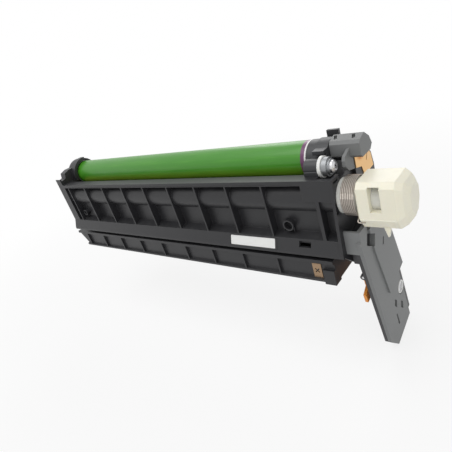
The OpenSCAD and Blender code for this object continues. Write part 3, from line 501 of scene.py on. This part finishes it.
def add_bar(mesh: bmesh.types.BMesh, size: Point, at: Point, edge: float) -> None:
    """Adds a block with rounded edges.

    Args:
        mesh: the mesh that it goes into.
        size: length of its sides.
        at: its centre.
        edge: radius of the edges.
    """
    made = bmesh.ops.create_cube(mesh, size=1.0)["verts"]
    bmesh.ops.scale(mesh, vec=size, verts=made)
    bmesh.ops.translate(mesh, vec=at, verts=made)
    edges = list({e for v in made for e in v.link_edges})
    bmesh.ops.bevel(mesh, geom=edges, offset=edge, segments=2, profile=0.5, affect="EDGES", material=-1)


def add_disc(mesh: bmesh.types.BMesh, radius: float, height: float, at: Point, rotation: Matrix,
             edge: float) -> None:
    """Adds a round disc with a rounded rim.

    Args:
        mesh: the mesh that it goes into.
        radius: radius of the disc.
        height: thickness of the disc.
        at: its centre.
        rotation: turn of its axis from Z.
        edge: radius of the rim.
    """
    made = bmesh.ops.create_cone(mesh, cap_ends=True, segments=32, radius1=radius, radius2=radius,
                                 depth=height)["verts"]
    rims = list({e for v in made for e in v.link_edges if abs(e.verts[0].co.z - e.verts[1].co.z) < 1e-6})
    result = bmesh.ops.bevel(mesh, geom=rims, offset=edge, segments=2, profile=0.5, affect="EDGES",
                             material=-1)
    verts = list({v for f in result["faces"] for v in f.verts} | {v for v in made if v.is_valid})
    bmesh.ops.rotate(mesh, cent=(0, 0, 0), matrix=rotation, verts=verts)
    bmesh.ops.translate(mesh, vec=at, verts=verts)


def ring_of_wire(mesh: bmesh.types.BMesh, radius: float) -> list[bmesh.types.BMEdge]:
    """Starts a round wire at the origin, facing X.

    Args:
        mesh: the mesh that it goes into.
        radius: radius of the wire.

    Returns:
        The edges of its open end.
    """
    made = bmesh.ops.create_circle(mesh, segments=12, radius=radius, cap_ends=False)["verts"]
    bmesh.ops.rotate(mesh, cent=(0, 0, 0), matrix=turn("Y", 90), verts=made)
    return list({e for v in made for e in v.link_edges})


def push(mesh: bmesh.types.BMesh, rim: list[bmesh.types.BMEdge], by: Vector) -> list[bmesh.types.BMEdge]:
    """Draws the open end of a wire out in a straight line.

    Args:
        mesh: the wire's mesh.
        rim: the edges of its open end.
        by: direction and length.

    Returns:
        The edges of the new open end.
    """
    grown = bmesh.ops.extrude_edge_only(mesh, edges=rim)["geom"]
    verts = [g for g in grown if isinstance(g, bmesh.types.BMVert)]
    bmesh.ops.translate(mesh, vec=by, verts=verts)
    return [g for g in grown if isinstance(g, bmesh.types.BMEdge) and len(g.link_faces) == 1]


def bend(mesh: bmesh.types.BMesh, rim: list[bmesh.types.BMEdge], centre: Vector, axis: Vector,
         degrees: float) -> list[bmesh.types.BMEdge]:
    """Bends the open end of a wire round an axis.

    Args:
        mesh: the wire's mesh.
        rim: the edges of its open end.
        centre: a point on the axis.
        axis: direction of the axis.
        degrees: how far it turns.

    Returns:
        The edges of the new open end.
    """
    spun = bmesh.ops.spin(mesh, geom=rim, cent=centre, axis=axis, angle=math.radians(degrees), steps=8,
                          dvec=(0, 0, 0), use_merge=False, use_duplicate=False)["geom_last"]
    return [g for g in spun if isinstance(g, bmesh.types.BMEdge)]


def close_wire(mesh: bmesh.types.BMesh) -> None:
    """Caps both open ends of a wire."""
    bmesh.ops.remove_doubles(mesh, verts=mesh.verts, dist=1e-5)
    bmesh.ops.holes_fill(mesh, edges=[e for e in mesh.edges if e.is_boundary], sides=0)


@dataclass
class SubAssembly:
    """A group of nodes that are dressed together, with the fine trim that they carry."""

    shelf: Shelf
    nodes: tuple[str, ...] = ()

    def dress(self) -> None:
        """Puts each node's finish on it."""
        for node in self.nodes:
            self.shelf.dress(node)

    def build(self) -> None:
        """Models the group's own trim; a plain group has none."""


@dataclass
class Frame(SubAssembly):
    """Housing, cover and rear cap, with the clips, ejector marks and the bare label on the ledge."""

    nodes: tuple[str, ...] = ("housing", "bottom_cover", "rear_cap", "rear_cap_screws", "cover_screws",
                              "memory_chip", "charge_contact")
    wall_y: float = -31.2
    first_rib_x: float = 30.7
    rib_pitch: float = 39.46
    bays: int = 8
    ledge_upper: tuple[float, float] = (-40.0, -55.3)
    ledge_lower: tuple[float, float] = (-44.5, -66.3)
    label_x: tuple[float, float] = (297.4, 347.6)
    label_height: float = 9.0
    label_corner: float = 0.8
    label_thickness: float = 0.2
    label_shift: tuple[float, float] = (-0.12, -0.1)
    clips: tuple[tuple[float, float, float, float], ...] = (
        (25.1, -48.5, 3.4, 6.0),
        (59.4, -48.0, 2.4, 5.0),
        (359.4, -46.8, 5.1, 8.0),
    )
    clip_reach: float = 2.2
    clip_width: float = 0.9
    clip_sink: float = 0.3
    mark_aside: float = 9.0
    mark_radius: float = 2.0
    mark_height: float = 0.5
    mark_edge: float = 0.12
    mark_z: float = -51.0
    bead_size: Point = (346.0, 0.8, 0.8)
    bead_at: Point = (203.0, -40.1, -6.6)
    bead_edge: float = 0.3

    def build(self) -> None:
        """Models the trim of the long mouldings."""
        self.build_label()
        self.build_clips()
        self.build_ejector_marks()
        self.build_rail_bead()

    def build_label(self) -> None:
        """Lays the bare label into its raised frame on the sloping ledge."""
        upper, lower = Vector(self.ledge_upper), Vector(self.ledge_lower)
        slope = upper - lower
        middle = (upper + lower) / 2
        mesh = bmesh.new()
        bmesh.ops.create_grid(mesh, x_segments=1, y_segments=1, size=0.5)
        size = (self.label_x[1] - self.label_x[0], self.label_height, 1.0)
        bmesh.ops.scale(mesh, vec=size, verts=mesh.verts)
        bmesh.ops.bevel(mesh, geom=mesh.verts[:], offset=self.label_corner, segments=4, profile=0.5,
                        affect="VERTICES", material=-1)
        bmesh.ops.solidify(mesh, geom=mesh.faces[:], thickness=self.label_thickness)
        lean = math.degrees(math.atan2(slope.y, slope.x))
        shift_y, shift_z = self.label_shift
        centre = ((self.label_x[0] + self.label_x[1]) / 2, middle.x + shift_y, middle.y + shift_z)
        move(mesh, centre, turn("X", lean))
        self.shelf.place("label_blank", mesh, "white_plastic", "frame")

    def build_clips(self) -> None:
        """Stands the small arched clips on the wall above the ledge."""
        mesh = bmesh.new()
        for x, z, radius, leg in self.clips:
            arch = bmesh.new()
            made = bmesh.ops.create_grid(arch, x_segments=1, y_segments=1, size=0.5)["verts"]
            bmesh.ops.scale(arch, vec=(self.clip_width, self.clip_reach, 1.0), verts=made)
            bmesh.ops.translate(arch, vec=(radius, 0, 0), verts=made)
            section = arch.faces[:] + arch.edges[:] + arch.verts[:]
            bmesh.ops.spin(arch, geom=section, cent=(0, 0, 0), axis=(0, -1, 0), angle=math.pi, steps=14,
                           dvec=(0, 0, 0), use_merge=False, use_duplicate=False)
            ends = [f for f in arch.faces if abs(f.calc_center_median().z) < 1e-4]
            for face in ends:
                grown = bmesh.ops.extrude_face_region(arch, geom=[face])["geom"]
                foot = [g for g in grown if isinstance(g, bmesh.types.BMVert)]
                bmesh.ops.translate(arch, vec=(0, 0, -leg), verts=foot)
            bmesh.ops.delete(arch, geom=[f for f in ends if f.is_valid], context="FACES_ONLY")
            move(arch, (x, self.wall_y - self.clip_reach / 2 + self.clip_sink, z))
            data = bpy.data.meshes.new("arch")
            arch.to_mesh(data)
            arch.free()
            mesh.from_mesh(data)
            bpy.data.meshes.remove(data)
        self.shelf.place("wall_clips", mesh, "black_plastic", "frame")

    def build_ejector_marks(self) -> None:
        """Adds the round marks that ejector pins leave in each bay between two ribs."""
        mesh = bmesh.new()
        facing = turn("X", 90)
        for bay in range(self.bays):
            middle = self.first_rib_x + (bay + 0.5) * self.rib_pitch
            for side in (-self.mark_aside, self.mark_aside):
                at = (middle + side, self.wall_y, self.mark_z)
                add_disc(mesh, self.mark_radius, self.mark_height, at, facing, self.mark_edge)
        self.shelf.place("ejector_marks", mesh, "black_plastic", "frame")

    def build_rail_bead(self) -> None:
        """Runs a fine bead along the lower front edge of the rail."""
        mesh = bmesh.new()
        add_bar(mesh, self.bead_size, self.bead_at, self.bead_edge)
        self.shelf.place("rail_bead", mesh, "black_plastic", "frame")


@dataclass
class Drum(SubAssembly):
    """The coated drum with its flanges, pin and bearing."""

    nodes: tuple[str, ...] = ("drum_tube", "drum_drive_flange", "drum_front_flange", "drum_pin",
                              "front_bearing_block", "cap_washer", "cap_spacer", "cap_screw", "front_cap",
                              "drum_contact_leaf")
    tongue_size: Point = (0.5, 5.0, 9.0)
    tongue_foot: Point = (417.4, 12.2, -8.0)
    tongue_lean: float = 12.0

    def build(self) -> None:
        """Models a leaning tongue beside the contact leaf."""
        mesh = bmesh.new()
        add_bar(mesh, self.tongue_size, (0.0, 0.0, self.tongue_size[2] / 2), 0.1)
        move(mesh, self.tongue_foot, turn("Y", self.tongue_lean))
        self.shelf.place("leaf_tongue", mesh, "copper_leaf", "frame")


@dataclass
class Cleaner(SubAssembly):
    """The auger, its gears, the blade and the film seal."""

    nodes: tuple[str, ...] = ("waste_auger", "auger_gear", "idler_gear", "cleaning_blade", "blade_bracket",
                              "recovery_film")


@dataclass
class Charger(SubAssembly):
    """The charge roller and the foam roller in their sprung bearings."""

    nodes: tuple[str, ...] = ("charge_roller_shaft", "charge_roller_rubber", "foam_roller_shaft",
                              "foam_roller_foam", "charge_bearing_rear", "charge_bearing_front",
                              "charge_spring_rear", "charge_spring_front")


@dataclass
class WasteOutlet(SubAssembly):
    """The waste tube, its shutter and the spring, with the spring's legs."""

    nodes: tuple[str, ...] = ("waste_tube", "shutter", "shutter_spring")
    axis_y: float = -24.716
    axis_z: float = -21.866
    wire: float = 0.55
    coil_end_x: float = 425.15
    hook_len: float = 4.5
    hook_bend: float = 1.2
    hook_end: float = 4.6
    hook_way: Point = (0.0, 0.7, 0.714)
    hook_offset: tuple[float, float] = (-14.8, -15.1)
    lip_size: Point = (24.5, 0.9, 1.3)
    lip_x: float = 440.5
    lip_offset: tuple[float, float] = (-15.9, -12.0)
    lip_edge: float = 0.35

    def build(self) -> None:
        """Models the wire leg that hooks the shutter, and the lip along the shutter's skirt."""
        inward = Vector(self.hook_way)
        mesh = bmesh.new()
        rim = ring_of_wire(mesh, self.wire)
        rim = push(mesh, rim, Vector((-self.hook_len, 0, 0)))
        centre = Vector((-self.hook_len, 0, 0)) + inward * self.hook_bend
        rim = bend(mesh, rim, centre, Vector((-1, 0, 0)).cross(inward), 90)
        push(mesh, rim, inward * self.hook_end)
        close_wire(mesh)
        hook_x = self.coil_end_x + self.hook_len + self.hook_bend
        move(mesh, (hook_x, self.axis_y + self.hook_offset[0], self.axis_z + self.hook_offset[1]))
        self.shelf.place("spring_hook", mesh, "spring_steel", "shutter", smooth=True)
        lip = bmesh.new()
        lip_at = (self.lip_x, self.axis_y + self.lip_offset[0], self.axis_z + self.lip_offset[1])
        add_bar(lip, self.lip_size, lip_at, self.lip_edge)
        self.shelf.place("shutter_lip", lip, "cream_plastic", "shutter")


@dataclass
class Panel(SubAssembly):
    """The grey front panel with its lock screw and the release lever behind it."""

    nodes: tuple[str, ...] = ("panel_back_plate", "front_panel", "panel_screws", "lock_screw", "latch_lever",
                              "latch_pin", "latch_spring")
    lean: float = 12.5
    lock_u: float = -5.0
    lock_w: float = -146.0
    lock_face_x: float = 422.8
    lock_face_proud: float = 0.55
    lock_face_thickness: float = 0.25
    coin_radius: float = 4.6
    cross_half: float = 0.55
    cross_depth: float = 0.5
    pad_x: float = 411.4
    pad_u: float = -36.0
    grip_size: Point = (0.9, 22.0, 0.9)
    grip_edge: float = 0.3
    grip_w: tuple[float, ...] = (-111.0, -113.5, -116.0)

    def on_panel(self, x: float, u: float, w: float) -> tuple[float, float, float]:
        """Finds a place given across and down the leaning panel.

        Args:
            x: place along the drum axis.
            u: place across the panel.
            w: place down the panel, negative below.

        Returns:
            The place in the unit's own frame.
        """
        turned = turn("X", self.lean) @ Vector((x, u, w))
        return turned.x, turned.y, turned.z

    def build(self) -> None:
        """Models the screw's metal face and the lever's grip ribs."""
        mesh = bmesh.new()
        bmesh.ops.create_circle(mesh, cap_ends=True, segments=40, radius=self.coin_radius)
        for normal in ((1, 0, 0), (0, 1, 0)):
            for offset in (-self.cross_half, self.cross_half):
                geometry = mesh.verts[:] + mesh.edges[:] + mesh.faces[:]
                point = [offset * n for n in normal]
                bmesh.ops.bisect_plane(mesh, geom=geometry, plane_co=point, plane_no=normal, dist=1e-6)
        cross = [f for f in mesh.faces if self._in_cross(f.calc_center_median())]
        grown = bmesh.ops.extrude_face_region(mesh, geom=cross)["geom"]
        sunk = [g for g in grown if isinstance(g, bmesh.types.BMVert)]
        bmesh.ops.delete(mesh, geom=cross, context="FACES_ONLY")
        bmesh.ops.translate(mesh, vec=(0, 0, -self.cross_depth), verts=sunk)
        bmesh.ops.solidify(mesh, geom=mesh.faces[:], thickness=self.lock_face_thickness)
        face_x = self.lock_face_x + self.lock_face_proud
        move(mesh, self.on_panel(face_x, self.lock_u, self.lock_w), turn("Y", 90))
        self.shelf.place("lock_screw_face", mesh, "screw_steel", "frame")
        grip = bmesh.new()
        for w in self.grip_w:
            add_bar(grip, self.grip_size, (self.pad_x, self.pad_u, w), self.grip_edge)
        bmesh.ops.rotate(grip, cent=(0, 0, 0), matrix=turn("X", self.lean), verts=grip.verts)
        self.shelf.place("latch_grip", grip, "orange_plastic", "latch")

    def _in_cross(self, point: Vector) -> bool:
        """Tells whether a point of the screw's face lies in its cross recess."""
        return min(abs(point.x), abs(point.y)) < self.cross_half


@dataclass(frozen=True)
class Studio:
    """Floor, soft lamps, background and the camera at the photograph's angle."""

    camera_place: Point = (0.5453, -0.2857, 0.1097)
    camera_right: Point = (0.75577, 0.58769, -0.28886)
    camera_down: Point = (0.05627, -0.49777, -0.86548)
    camera_forward: Point = (-0.65242, 0.63785, -0.40927)
    focal_px: float = 404.87
    photo_px: float = 452.0
    sensor_mm: float = 36.0
    middle: Point = (0.23, 0.0, -0.05)
    floor_reach: float = 60.0
    near_lift: float = 0.8
    fade: tuple[float, float] = (0.25, 0.9)
    lamps: tuple[tuple[str, Point, float, float], ...] = (
        ("key", (0.1, -0.5, 1.25), 9.0, 1.1),
        ("fill", (1.2, -1.0, 0.45), 4.0, 0.9),
        ("back", (-0.3, 1.2, 0.8), 5.0, 0.9),
    )

    def add_camera(self) -> None:
        """Stands the camera where the photograph was taken from."""
        data = bpy.data.cameras.new("camera")
        data.sensor_fit = "HORIZONTAL"
        data.sensor_width = self.sensor_mm
        data.lens = self.sensor_mm * self.focal_px / self.photo_px
        data.clip_start = 0.01
        camera = bpy.data.objects.new("camera", data)
        axes = (Vector(self.camera_right), -Vector(self.camera_down), -Vector(self.camera_forward))
        camera.matrix_world = Matrix.Translation(self.camera_place) @ Matrix(axes).transposed().to_4x4()
        bpy.context.scene.collection.objects.link(camera)
        bpy.context.scene.camera = camera

    def add_lamps(self) -> None:
        """Hangs the soft lamps, each aimed at the middle of the unit."""
        for name, place, watts, size in self.lamps:
            data = bpy.data.lights.new(name, "AREA")
            data.energy = watts
            data.size = size
            lamp = bpy.data.objects.new(name, data)
            aim = (Vector(self.middle) - Vector(place)).to_track_quat("-Z", "Y")
            lamp.matrix_world = Matrix.Translation(place) @ aim.to_matrix().to_4x4()
            bpy.context.scene.collection.objects.link(lamp)

    def add_world(self) -> None:
        """Gives a plain ambient light, seen as white by the camera and in reflections."""
        world = bpy.data.worlds.new("studio")
        world.use_nodes = True
        bpy.context.scene.world = world
        graph = Graph(world.node_tree)
        graph.tree.nodes.clear()
        ambient = graph.node("ShaderNodeBackground", {"Color": rgba(WHITE), "Strength": 0.5}).outputs[0]
        shown = graph.node("ShaderNodeBackground", {"Color": rgba(WHITE), "Strength": 1.0}).outputs[0]
        both = graph.node("ShaderNodeMixShader", {0: graph.seen_directly(), 1: ambient, 2: shown}).outputs[0]
        graph.node("ShaderNodeOutputWorld", {"Surface": both})

    def add_floor(self) -> None:
        """Lays a wide pale floor just under the unit, which keeps the unit's shadow."""
        mesh = bmesh.new()
        bmesh.ops.create_grid(mesh, x_segments=2, y_segments=2, size=self.floor_reach)
        floor_z = min(Vector(corner).z for corner in cad_box) - 0.0005
        bmesh.ops.translate(mesh, vec=(0.2, 0.0, floor_z), verts=mesh.verts)
        data = bpy.data.meshes.new("floor")
        mesh.to_mesh(data)
        mesh.free()
        material = bpy.data.materials.new("floor_paint")
        material.use_nodes = True
        graph = Graph(material.node_tree)
        graph.tree.nodes.clear()
        paint = graph.node("ShaderNodeBsdfDiffuse", {"Color": rgba((0.82, 0.82, 0.82))}).outputs[0]
        bright = graph.node("ShaderNodeEmission", {"Color": rgba(WHITE), "Strength": 1.0}).outputs[0]
        place = graph.node("ShaderNodeTexCoord").outputs["Object"]
        away = graph.vector("DISTANCE", {0: place, 1: self.middle}).outputs["Value"]
        rise = graph.math("MULTIPLY", graph.ramp(away, *self.fade), 1.0 - self.near_lift)
        lift = graph.math("ADD", rise, self.near_lift)
        lifted = graph.math("MULTIPLY", graph.seen_directly(), lift)
        both = graph.node("ShaderNodeMixShader", {0: lifted, 1: paint, 2: bright}).outputs[0]
        graph.node("ShaderNodeOutputMaterial", {"Surface": both})
        data.materials.append(material)
        floor = bpy.data.objects.new("floor", data)
        bpy.context.scene.collection.objects.link(floor)

    def build(self) -> None:
        """Sets up the whole studio."""
        bpy.context.scene.view_settings.view_transform = "Standard"
        self.add_camera()
        self.add_lamps()
        self.add_world()
        self.add_floor()


def main() -> None:
    """Builds the studio, dresses every node and adds the trim."""
    logging.basicConfig(level=logging.INFO, format="%(name)s: %(message)s")
    Studio().build()
    shelf = Shelf()
    for kind in (Frame, Drum, Cleaner, Charger, WasteOutlet, Panel):
        group = kind(shelf)
        group.dress()
        group.build()
        log.info("%s: %d nodes dressed", kind.__name__, len(group.nodes))


if __name__ == "__main__":
    main()
